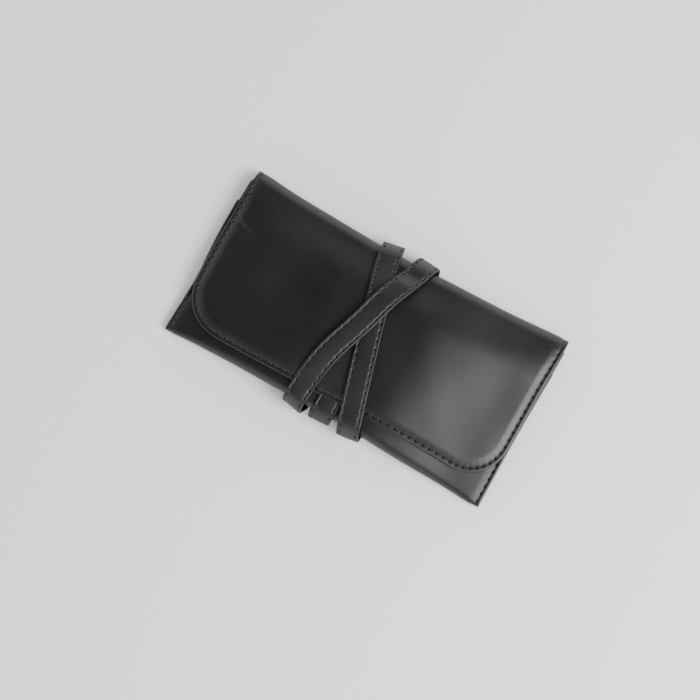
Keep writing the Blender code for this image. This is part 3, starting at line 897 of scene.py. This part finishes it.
def node(tree, kind, inputs=None, links=None, **settings):
    """Add a node with its settings, its inputs' values and the sockets that feed it."""
    made = tree.nodes.new(kind)
    for key, value in settings.items():
        setattr(made, key, value)
    for key, value in (inputs or {}).items():
        made.inputs[key].default_value = value
    for key, socket in (links or {}).items():
        tree.links.new(socket, made.inputs[key])
    return made


def new_material(name):
    """An empty Principled material, its tree and its shader."""
    material = bpy.data.materials.new(name)
    material.use_nodes = True
    tree = material.node_tree
    return material, tree, tree.nodes["Principled BSDF"]


def ramp(tree, source, low, high, from_value, to_value):
    """Blend two colours as the source goes from one value to another."""
    made = node(tree, "ShaderNodeValToRGB", links={"Fac": source})
    made.color_ramp.elements[0].position = from_value
    made.color_ramp.elements[0].color = (*low, 1.0)
    made.color_ramp.elements[1].position = to_value
    made.color_ramp.elements[1].color = (*high, 1.0)
    return made.outputs["Color"]


def add_bump(tree, shader, height, strength, distance):
    """Raise the surface by a pattern."""
    bump = node(tree, "ShaderNodeBump", {"Strength": strength, "Distance": distance}, {"Height": height})
    tree.links.new(bump.outputs["Normal"], shader.inputs["Normal"])


def leather_material(name, colours, settings, roughness, grain_depth, specular):
    """Finished leather: a pigmented film over fine embossed grain.

    The eye gets a deep black with soft broad highlights, broken up by pores and small
    creases between flat pebbles.
    """
    material, tree, shader = new_material(name)
    place = node(tree, "ShaderNodeTexCoord").outputs["Object"]
    per_metre = 1.0 / settings.grain_size
    pebbles = node(tree, "ShaderNodeTexVoronoi", {"Scale": per_metre}, {"Vector": place},
                   feature="DISTANCE_TO_EDGE")
    creases = node(tree, "ShaderNodeMapRange", {"From Max": 0.12}, {"Value": pebbles.outputs["Distance"]})
    pores = node(tree, "ShaderNodeTexNoise", {"Scale": per_metre * 2.2, "Detail": 3.0}, {"Vector": place})
    handling = node(tree, "ShaderNodeTexNoise", {"Scale": 1.0 / (24.0 * MM), "Detail": 4.0},
                    {"Vector": place})
    colour = ramp(tree, handling.outputs["Fac"], colours[0], colours[1], 0.35, 0.68)
    # Painted shade: the needle holes are painted black and lose their specular, standing in for the shade
    # inside them
    holes = node(tree, "ShaderNodeAttribute", attribute_name="hole_shade").outputs["Fac"]
    dark = node(tree, "ShaderNodeMix", {7: (0.0, 0.0, 0.0, 1.0)}, {0: holes, 6: colour}, data_type="RGBA")
    tree.links.new(dark.outputs[2], shader.inputs["Base Color"])
    hole_shade_specular = node(tree, "ShaderNodeMapRange", {"To Min": specular, "To Max": 0.0}, {"Value": holes})
    tree.links.new(hole_shade_specular.outputs["Result"], shader.inputs["Specular IOR Level"])
    gloss = node(tree, "ShaderNodeMapRange",
                 {"To Min": roughness - 0.035, "To Max": roughness + 0.05},
                 {"Value": handling.outputs["Fac"]})
    tree.links.new(gloss.outputs["Result"], shader.inputs["Roughness"])
    fine = node(tree, "ShaderNodeBump", {"Strength": 0.25, "Distance": grain_depth * 0.6},
                {"Height": pores.outputs["Fac"]})
    grain = node(tree, "ShaderNodeBump", {"Strength": 0.45, "Distance": grain_depth},
                 {"Height": creases.outputs["Result"], "Normal": fine.outputs["Normal"]})
    tree.links.new(grain.outputs["Normal"], shader.inputs["Normal"])
    return material


def thread_material(colour):
    """Bonded nylon thread: a smooth resin coat over twisted yarn, which glints along its top."""
    material, tree, shader = new_material("bonded nylon thread")
    place = node(tree, "ShaderNodeTexCoord").outputs["Object"]
    twist = node(tree, "ShaderNodeTexWave", {"Scale": 1.0 / (6.0 * MM), "Distortion": 1.5},
                 {"Vector": place}, bands_direction="DIAGONAL")
    shade = ramp(tree, twist.outputs["Fac"], [c * 0.6 for c in colour], colour, 0.2, 0.8)
    tree.links.new(shade, shader.inputs["Base Color"])
    shader.inputs["Roughness"].default_value = 0.42
    add_bump(tree, shader, twist.outputs["Fac"], 0.4, 0.05 * MM)
    return material


def weave_material(name, colours, spacing, roughness, sheen):
    """Woven lining: crossed threads, drawn a little coarser than real so that they show."""
    material, tree, shader = new_material(name)
    place = node(tree, "ShaderNodeTexCoord").outputs["Object"]
    scale = 2.0 * math.pi / (20.0 * spacing)
    warp = node(tree, "ShaderNodeTexWave", {"Scale": scale}, {"Vector": place}, bands_direction="X")
    weft = node(tree, "ShaderNodeTexWave", {"Scale": scale}, {"Vector": place}, bands_direction="Y")
    cross = node(tree, "ShaderNodeMath", links={0: warp.outputs["Fac"], 1: weft.outputs["Fac"]},
                 operation="MULTIPLY")
    shade = ramp(tree, cross.outputs["Value"], colours[0], colours[1], 0.1, 0.8)
    tree.links.new(shade, shader.inputs["Base Color"])
    shader.inputs["Roughness"].default_value = roughness
    shader.inputs["Sheen Weight"].default_value = sheen
    add_bump(tree, shader, cross.outputs["Value"], 0.5, 0.1 * MM)
    return material


def felt_material(colours):
    """Needled felt: matted fibres with a soft, cloudy surface."""
    material, tree, shader = new_material("needled felt")
    place = node(tree, "ShaderNodeTexCoord").outputs["Object"]
    fibres = node(tree, "ShaderNodeTexNoise", {"Scale": 1.0 / (1.2 * MM), "Detail": 6.0}, {"Vector": place})
    shade = ramp(tree, fibres.outputs["Fac"], colours[0], colours[1], 0.3, 0.7)
    tree.links.new(shade, shader.inputs["Base Color"])
    shader.inputs["Roughness"].default_value = 0.95
    add_bump(tree, shader, fibres.outputs["Fac"], 0.6, 0.3 * MM)
    return material


def paper_material(colour):
    """Matt card: an even pale sheet to stand on."""
    material, tree, shader = new_material("matt card")
    place = node(tree, "ShaderNodeTexCoord").outputs["Object"]
    clouds = node(tree, "ShaderNodeTexNoise", {"Scale": 3.0, "Detail": 2.0}, {"Vector": place})
    shade = ramp(tree, clouds.outputs["Fac"], [c * 0.985 for c in colour], colour, 0.3, 0.7)
    tree.links.new(shade, shader.inputs["Base Color"])
    shader.inputs["Roughness"].default_value = 0.9
    shader.inputs["Specular IOR Level"].default_value = 0.2
    return material


def case_material(name):
    """Make a material once and give it out again."""
    if name in bpy.data.materials:
        return bpy.data.materials[name]
    settings = bpy.context.scene.brush_case_leather
    if name == "finished black leather":
        colours = (tuple(settings.leather_dark), tuple(settings.leather_light))
        return leather_material(name, colours, settings, settings.leather_roughness, 0.05 * MM, 0.5)
    if name == "black strap leather":
        colours = (tuple(settings.strap_dark), tuple(settings.strap_light))
        return leather_material(name, colours, settings, settings.strap_roughness, 0.06 * MM, 0.5)
    if name == "matt backing leather":
        colours = (hex_rgb("#131214"), hex_rgb("#1f1e20"))
        return leather_material(name, colours, settings, 0.62, 0.05 * MM, 0.35)
    if name == "bonded nylon thread":
        return thread_material(tuple(settings.thread_colour))
    if name == "black lining twill":
        colours = (hex_rgb("#131315"), hex_rgb("#2b2b2f"))
        return weave_material(name, colours, 0.5 * MM, 0.8, 0.15)
    return felt_material((hex_rgb("#4a4a4c"), hex_rgb("#77777a")))


# ---------------------------------------------------------------- settings


class BrushCaseLeather(bpy.types.PropertyGroup):
    leather_dark: FloatVectorProperty(
        name="Leather, dark", description="Leather where it is least handled",
        subtype="COLOR", default=hex_rgb("#0c0c0d"), min=0.0, max=1.0)
    leather_light: FloatVectorProperty(
        name="Leather, light", description="Leather where it is rubbed",
        subtype="COLOR", default=hex_rgb("#111112"), min=0.0, max=1.0)
    leather_roughness: FloatProperty(
        name="Leather roughness", description="Lower is glossier", default=0.35, min=0.0, max=1.0)
    strap_dark: FloatVectorProperty(
        name="Strap, dark", description="Strap leather where it is least handled",
        subtype="COLOR", default=hex_rgb("#100f11"), min=0.0, max=1.0)
    strap_light: FloatVectorProperty(
        name="Strap, light", description="Strap leather where it is rubbed",
        subtype="COLOR", default=hex_rgb("#161517"), min=0.0, max=1.0)
    strap_roughness: FloatProperty(
        name="Strap roughness", description="Lower is glossier", default=0.36, min=0.0, max=1.0)
    thread_colour: FloatVectorProperty(
        name="Thread", description="Colour of the stitching",
        subtype="COLOR", default=hex_rgb("#1c1c1e"), min=0.0, max=1.0)
    grain_size: FloatProperty(
        name="Grain", description="Width of a pebble of the grain",
        default=0.8 * MM, min=0.1 * MM, unit="LENGTH")


class BrushCaseSewing(bpy.types.PropertyGroup):
    stitch_pitch: FloatProperty(
        name="Stitch", description="Length of a stitch on the case",
        default=4.5 * MM, min=1.0 * MM, unit="LENGTH")
    seam_inset: FloatProperty(
        name="Seam inset", description="Distance of the stitches from the case's edges",
        default=2.4 * MM, min=0.5 * MM, unit="LENGTH")
    strap_width: FloatProperty(
        name="Strap width", description="Width of the strap",
        default=13.2 * MM, min=5.0 * MM, unit="LENGTH")
    strap_pitch: FloatProperty(
        name="Strap stitch", description="Length of a stitch on the strap",
        default=5.1 * MM, min=1.0 * MM, unit="LENGTH")
    strap_inset: FloatProperty(
        name="Strap seam inset", description="Distance of the stitches from the strap's edges",
        default=1.7 * MM, min=0.5 * MM, unit="LENGTH")
    thread_width: FloatProperty(
        name="Thread width", description="Width of the sewing thread",
        default=0.6 * MM, min=0.1 * MM, unit="LENGTH")
    stitch_share: FloatProperty(
        name="Stitch share", description="Part of a stitch's pitch that the thread covers",
        default=0.82, min=0.3, max=1.0)
    slots: IntProperty(
        name="Brush slots", description="Number of slots in the inner panel",
        default=10, min=2, max=30)


# ---------------------------------------------------------------- operators


def fold_blend(piece, start, reach, slope):
    """Bake a piece's transform into its mesh. start and reach are not used.

    slope is not used.
    """
    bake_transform(piece)


class BRUSHCASE_OT_pocket(bpy.types.Operator):
    """Build the pocket's leather and its side and mouth stitching"""
    bl_idname = "brush_case.pocket"
    bl_label = "Pocket leather"

    def execute(self, context):
        sewing = context.scene.brush_case_sewing
        leather = case_material("finished black leather")
        piece = add_piece("pocket_leather", pocket_leather_mesh(sewing), leather)
        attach(piece, "case")
        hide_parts("outer_shell")
        for side, name in ((-1, "left"), (1, "right")):
            line = pocket_seam_line(side, sewing)
            seam = add_stitches(f"{name}_seam_stitches", [line], sewing.stitch_pitch, sewing)
            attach(seam, "case")
            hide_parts(f"{name}_seam_thread")
        seam = add_stitches("mouth_stitches", [mouth_seam_line(sewing)], sewing.stitch_pitch, sewing)
        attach(seam, "case")
        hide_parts("pocket_mouth_thread")
        return {"FINISHED"}


class BRUSHCASE_OT_flap(bpy.types.Operator):
    """Build the flap's leather with the top fold, and the stitching round it"""
    bl_idname = "brush_case.flap"
    bl_label = "Flap leather"

    def execute(self, context):
        sewing = context.scene.brush_case_sewing
        leather = case_material("finished black leather")
        mesh = flap_sheet("flap_and_fold", 0.0, 0.0, LEATHER, sewing, True)
        piece = add_piece("flap_and_fold", mesh, leather)
        band = ((0.0, FOLD_CENTRE_Y, BACK_LIFT + 0.9 * MM), 2.4 * MM, (0.0, -0.05))
        fold_blend(piece, *band)
        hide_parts("flap_leather", "top_fold_leather")
        seam = add_stitches("flap_stitches", [flap_seam_line(sewing)], sewing.stitch_pitch, sewing)
        fold_blend(seam, *band)
        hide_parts("flap_thread")
        return {"FINISHED"}


class BRUSHCASE_OT_lining(bpy.types.Operator):
    """Build the lining of the pocket and the flap, and the felt behind it"""
    bl_idname = "brush_case.lining"
    bl_label = "Lining and padding"

    def execute(self, context):
        sewing = context.scene.brush_case_sewing
        twill = case_material("black lining twill")
        felt = case_material("needled felt")

        x = np.linspace(-HALF_LENGTH + LINING_INSET, HALF_LENGTH - LINING_INSET, 121)
        run = np.concatenate([np.linspace(0.0, 1.0, 31), np.linspace(1.0, 2.0, 17)[1:],
                              np.linspace(2.0, 2.99, 31)[1:]])
        x, run = np.meshgrid(x, run, indexing="ij")
        outer, normal = pocket_points(x, run, lining_depth(x), SEAM_LINING_DEPTH)
        inner = outer - normal * LINING
        patches = shell_patches(settle(outer, POCKET_FLARE), settle(inner, POCKET_FLARE))
        mesh = closed_mesh("pocket_lining", patches)
        piece = add_piece("pocket_lining_cloth", mesh, twill)
        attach(piece, "case")
        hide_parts("pocket_lining")

        mesh = flap_sheet("flap_lining", LINING_INSET, LINING_DEPTH, LINING, sewing, False)
        piece = add_piece("flap_lining_cloth", mesh, twill)
        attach(piece, "flap")
        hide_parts("flap_lining")
        self.fold_lining(twill)

        for body, name in (("case", "back_padding"), ("flap", "flap_padding")):
            low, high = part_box(name)
            columns, rows = np.linspace(low.x, high.x, 81), np.linspace(low.y, high.y, 41)
            x, y = np.meshgrid(columns, rows, indexing="ij")
            depth = SEAM_LINING_DEPTH
            if body == "case":
                base = lift(x) + depth
            else:
                base = lift(x) + flap_height(x, y) - depth - PADDING
            fluff = 0.08 * MM * np.sin(x / (3.1 * MM)) * np.cos(y / (2.7 * MM))
            droop = 1.0 if body == "flap" else 0.0
            outer = settle(np.stack([x, y, base + PADDING - 0.1 * MM + fluff], axis=-1), droop=droop)
            inner = settle(np.stack([x, y, base + 0.1 * MM + fluff], axis=-1), droop=droop)
            mesh = closed_mesh(name, shell_patches(outer, inner))
            piece = add_piece(f"{body}_felt", mesh, felt)
            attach(piece, body)
            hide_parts(name)
        return {"FINISHED"}

    def fold_lining(self, twill):
        """Line the top fold in five lengths, as each follows the back's own height there."""
        edge = FLAP_HALF_LENGTH - LINING_INSET
        places = (-edge, -REST_X, -LIFT_FLAT_X, LIFT_FLAT_X, REST_X, edge)
        for i, (left, right) in enumerate(zip(places[:-1], places[1:])):
            x, turn = np.meshgrid(stations(left, right, 2.5 * MM), np.linspace(0.0, 1.0, 61), indexing="ij")
            outer = settle(fold_points(x, turn, LINING_DEPTH)[0], droop=1.0)
            inner = settle(fold_points(x, turn, LINING_DEPTH + LINING)[0], droop=1.0)
            name = f"fold_lining_cloth_{i + 1}"
            piece = add_piece(name, closed_mesh(name, shell_patches(outer, inner)), twill)
            height = (lift(left) + lift(right)) / 2 + LINING_DEPTH + 0.1 * MM
            slope = (lift(left) - lift(right)) / (right - left)
            fold_blend(piece, ((left + right) / 2, FOLD_CENTRE_Y, height), 3.0 * MM, (slope, 0.0))
            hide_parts("top_fold_lining")


class BRUSHCASE_OT_slots(bpy.types.Operator):
    """Build the inner panel that holds the brushes, sewn down between its slots"""
    bl_idname = "brush_case.slots"
    bl_label = "Brush slots"

    def execute(self, context):
        sewing = context.scene.brush_case_sewing
        twill = case_material("black lining twill")
        low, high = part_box("slot_panel")
        x = np.linspace(low.x, high.x, 20 * sewing.slots + 1)
        hem_rows = high.y - rim_insets(4.0 * MM, PANEL_THICKNESS / 2)[::-1]
        y = np.concatenate([np.linspace(low.y, high.y - 4.0 * MM, 30), hem_rows[1:]])
        x, y = np.meshgrid(x, y, indexing="ij")
        width = (high.x - low.x) / sewing.slots
        phase = ((x - low.x) / width) % 1.0
        swell = np.sin(math.pi * phase) ** 0.7
        room = np.clip((HALF_LENGTH - np.abs(x)) / (30.0 * MM), 0.0, 1.0)
        base = lift(x) + lining_depth(x) + LINING + PANEL_GAP
        rise = swell * 1.4 * MM * room * smoothstep((y - low.y) / (25.0 * MM))
        hem = 0.15 * MM * bell(high.y - y - 1.6 * MM, 1.6 * MM)
        top = np.stack([x, y, base + rise + PANEL_THICKNESS + hem], axis=-1)
        under = np.stack([x, y, base + rise], axis=-1)
        patches = shell_patches(settle(top), settle(under))
        piece = add_piece("brush_slots", closed_mesh("slot_panel", patches), twill)
        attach(piece, "case")
        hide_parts("slot_panel")
        lines = []
        for i in range(1, sewing.slots):
            place = low.x + i * width
            ys = np.linspace(low.y + 1.0 * MM, high.y - 1.0 * MM, 80)
            xs = np.full_like(ys, place)
            z = lift(xs) + lining_depth(xs) + LINING + PANEL_THICKNESS + PANEL_GAP + 0.1 * MM
            up = np.zeros((len(ys), 3))
            up[:, 2] = 1.0
            lines.append((settle(np.stack([xs, ys, z], axis=-1)), up, ys))
        seam = add_stitches("slot_stitches", lines, sewing.stitch_pitch, sewing)
        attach(seam, "case")
        return {"FINISHED"}


class BRUSHCASE_OT_strap(bpy.types.Operator):
    """Build the strap's two layers and its stitching, one length round each bend"""
    bl_idname = "brush_case.strap"
    bl_label = "Wrap strap"

    def execute(self, context):
        sewing = context.scene.brush_case_sewing
        leather = case_material("black strap leather")
        plan = plan_strap()
        top = STRAP_THICKNESS / 2
        seam_top = top - STRAP_LAYERS[0]
        backing_top = seam_top - STRAP_LAYERS[1] + 0.15 * MM
        for i, bend in enumerate(plan[0]):
            names = (PASS_NAMES[i], PASS_NAMES[i + 1])
            pieces = []
            for layer, high, low, crowned in (("outer", top, seam_top, True),
                                              ("backing", backing_top, -top, False)):
                name = f"strap_{layer}_{i + 1}"
                mesh = strap_layer_mesh(name, i, plan, high, low, sewing, crowned)
                material = leather if crowned else case_material("matt backing leather")
                piece = add_piece(name, mesh, material)
                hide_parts(*[f"strap_{part}_{layer}" for part in names])
                pieces.append(piece)
            lines = strap_seam_lines(i, plan, sewing)
            pieces.append(add_stitches(f"strap_stitches_{i + 1}", lines, sewing.strap_pitch, sewing))
            for piece in pieces:
                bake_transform(piece)
        return {"FINISHED"}


class BRUSHCASE_OT_stage(bpy.types.Operator):
    """Set the floor, the soft lights and the camera"""
    bl_idname = "brush_case.stage"
    bl_label = "Stage"

    def execute(self, context):
        low, high = CAD_BOX
        centre = Vector(((low.x + high.x) / 2, (low.y + high.y) / 2, 0.0))
        bpy.ops.mesh.primitive_plane_add(size=6.0, location=(0.0, 0.0, -0.05 * MM))
        floor = context.object
        floor.name = "floor"
        floor.data.materials.append(paper_material(hex_rgb("#fbfbfe")))

        world = context.scene.world or bpy.data.worlds.new("studio")
        context.scene.world = world
        world.use_nodes = True
        tree = world.node_tree
        sky = tree.nodes["Background"]
        sky.inputs["Color"].default_value = (*hex_rgb("#e6e8ec"), 1.0)
        direction = node(tree, "ShaderNodeTexCoord").outputs["Generated"]
        height = node(tree, "ShaderNodeSeparateXYZ", links={"Vector": direction}).outputs["Z"]
        glow = node(tree, "ShaderNodeMapRange",
                    {"From Min": 0.2, "From Max": 0.9, "To Min": HORIZON_GLOW, "To Max": OVERHEAD_GLOW},
                    {"Value": height})
        tree.links.new(glow.outputs["Result"], sky.inputs["Strength"])

        self.light("key softbox", (1.02, 0.05, 0.88), 0.7, 21.0, centre)
        self.light("overhead softbox", (0.62, -0.2, 1.1), 0.9, 5.0, centre)

        azimuth, elevation = math.radians(29.5), math.radians(83.5)
        back = Vector((math.sin(azimuth) * math.cos(elevation),
                       -math.cos(azimuth) * math.cos(elevation), math.sin(elevation)))
        right = Vector((math.cos(azimuth), math.sin(azimuth), 0.0))
        ahead = Vector((-math.sin(azimuth), math.cos(azimuth), 0.0))
        aim = centre - right * 9.6 * MM - ahead * 7.3 * MM + Vector((0.0, 0.0, 10.0 * MM))
        lens = bpy.data.cameras.new("camera")
        lens.lens = 63.8
        lens.clip_start = 0.01
        camera = bpy.data.objects.new("camera", lens)
        context.collection.objects.link(camera)
        camera.location = aim + back * 0.70
        camera.rotation_euler = (-back).to_track_quat("-Z", "Y").to_euler()
        context.scene.camera = camera
        return {"FINISHED"}

    def light(self, name, place, size, power, aim):
        """Add a square soft light aimed at the case."""
        data = bpy.data.lights.new(name, "AREA")
        data.shape = "SQUARE"
        data.size = size
        data.energy = power
        lamp = bpy.data.objects.new(name, data)
        bpy.context.collection.objects.link(lamp)
        lamp.location = place
        lamp.rotation_euler = (aim - Vector(place)).to_track_quat("-Z", "Y").to_euler()


class BRUSHCASE_PT_panel(bpy.types.Panel):
    bl_label = "Brush Case"
    bl_idname = "BRUSHCASE_PT_panel"
    bl_space_type = "VIEW_3D"
    bl_region_type = "UI"
    bl_category = "Brush Case"

    def draw(self, context):
        for group in (context.scene.brush_case_leather, context.scene.brush_case_sewing):
            for key in group.bl_rna.properties.keys():
                if key not in ("rna_type", "name"):
                    self.layout.prop(group, key)
        for operator in OPERATORS:
            self.layout.operator(operator.bl_idname)


GROUPS = (BrushCaseLeather, BrushCaseSewing)
OPERATORS = (BRUSHCASE_OT_pocket, BRUSHCASE_OT_flap, BRUSHCASE_OT_lining, BRUSHCASE_OT_slots,
             BRUSHCASE_OT_strap, BRUSHCASE_OT_stage)


def register():
    for cls in GROUPS + OPERATORS + (BRUSHCASE_PT_panel,):
        bpy.utils.register_class(cls)
    bpy.types.Scene.brush_case_leather = PointerProperty(type=BrushCaseLeather)
    bpy.types.Scene.brush_case_sewing = PointerProperty(type=BrushCaseSewing)


def unregister():
    del bpy.types.Scene.brush_case_sewing
    del bpy.types.Scene.brush_case_leather
    for cls in (BRUSHCASE_PT_panel,) + OPERATORS[::-1] + GROUPS[::-1]:
        bpy.utils.unregister_class(cls)


def main():
    register()
    bpy.ops.brush_case.pocket()
    bpy.ops.brush_case.flap()
    bpy.ops.brush_case.lining()
    bpy.ops.brush_case.slots()
    bpy.ops.brush_case.strap()
    bpy.ops.brush_case.stage()


if __name__ == "__main__":
    main()
